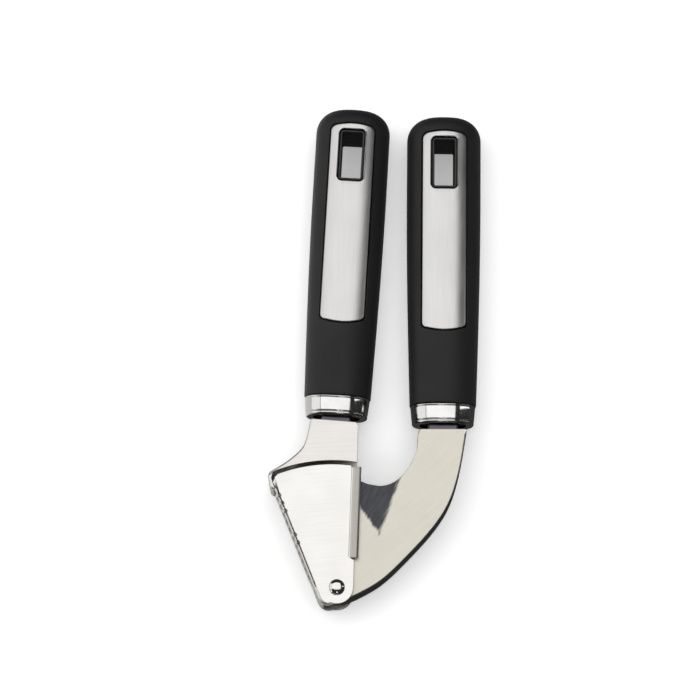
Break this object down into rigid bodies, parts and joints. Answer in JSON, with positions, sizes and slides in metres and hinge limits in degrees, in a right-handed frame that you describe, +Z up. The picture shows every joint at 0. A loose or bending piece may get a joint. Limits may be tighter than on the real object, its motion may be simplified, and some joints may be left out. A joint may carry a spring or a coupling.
{
  "type": "garlic press",
  "caption": "Hand garlic press: two steel levers with soft black grips, a swing-out hopper with a sieve wall and a plunger arm on a shared rivet.",
  "frame": {"origin": "middle of the bounding box's bottom, on the surface that the press lies on", "axes": "+Y along the handles towards their hanging ends, +Z up from the surface towards the front face, +X from the sieve side to the press arm side"},
  "size_m": [0.0836, 0.198, 0.024],
  "materials": {
    "satin_steel": "satin stainless steel, fine brushing",
    "brushed_inlay": "brushed along the handle",
    "polished_steel": "mirror polished",
    "inner_steel": "plain unpolished steel",
    "soft_grip": "soft-touch matte black",
    "black_plastic": "moulded black"
  },
  "bodies": {
    "cradle": {"cradle_lever": "satin_steel", "pivot_rivet": "polished_steel", "left_tang": "inner_steel", "left_ferrule": "polished_steel", "left_ferrule_plug": "black_plastic", "left_handle_core": "black_plastic", "left_grip_sleeve": "soft_grip", "left_front_inlay": "brushed_inlay", "left_back_inlay": "brushed_inlay", "left_hang_eyelet": "black_plastic", "left_handle_screw": "inner_steel"},
    "hopper": {"swing_out_hopper": "satin_steel"},
    "arm": {"press_arm": "satin_steel", "plunger": "satin_steel", "upper_plunger_pin": "inner_steel", "lower_plunger_pin": "inner_steel", "pivot_spacer": "inner_steel", "right_tang": "inner_steel", "right_ferrule": "polished_steel", "right_ferrule_plug": "black_plastic", "right_handle_core": "black_plastic", "right_grip_sleeve": "soft_grip", "right_front_inlay": "brushed_inlay", "right_back_inlay": "brushed_inlay", "right_hang_eyelet": "black_plastic", "right_handle_screw": "inner_steel"}
  },
  "joints": [
    {"name": "hopper_swing", "type": "hinge", "parent": "cradle", "child": "hopper", "pos_m": [-0.01517, -0.09221, 0.012], "axis": [0, 0, -1], "range_deg": [0, 25]},
    {"name": "arm_swing", "type": "hinge", "parent": "hopper", "child": "arm", "pos_m": [-0.01517, -0.09221, 0.012], "axis": [0, 0, -1], "range_deg": [0, 70]}
  ]
}
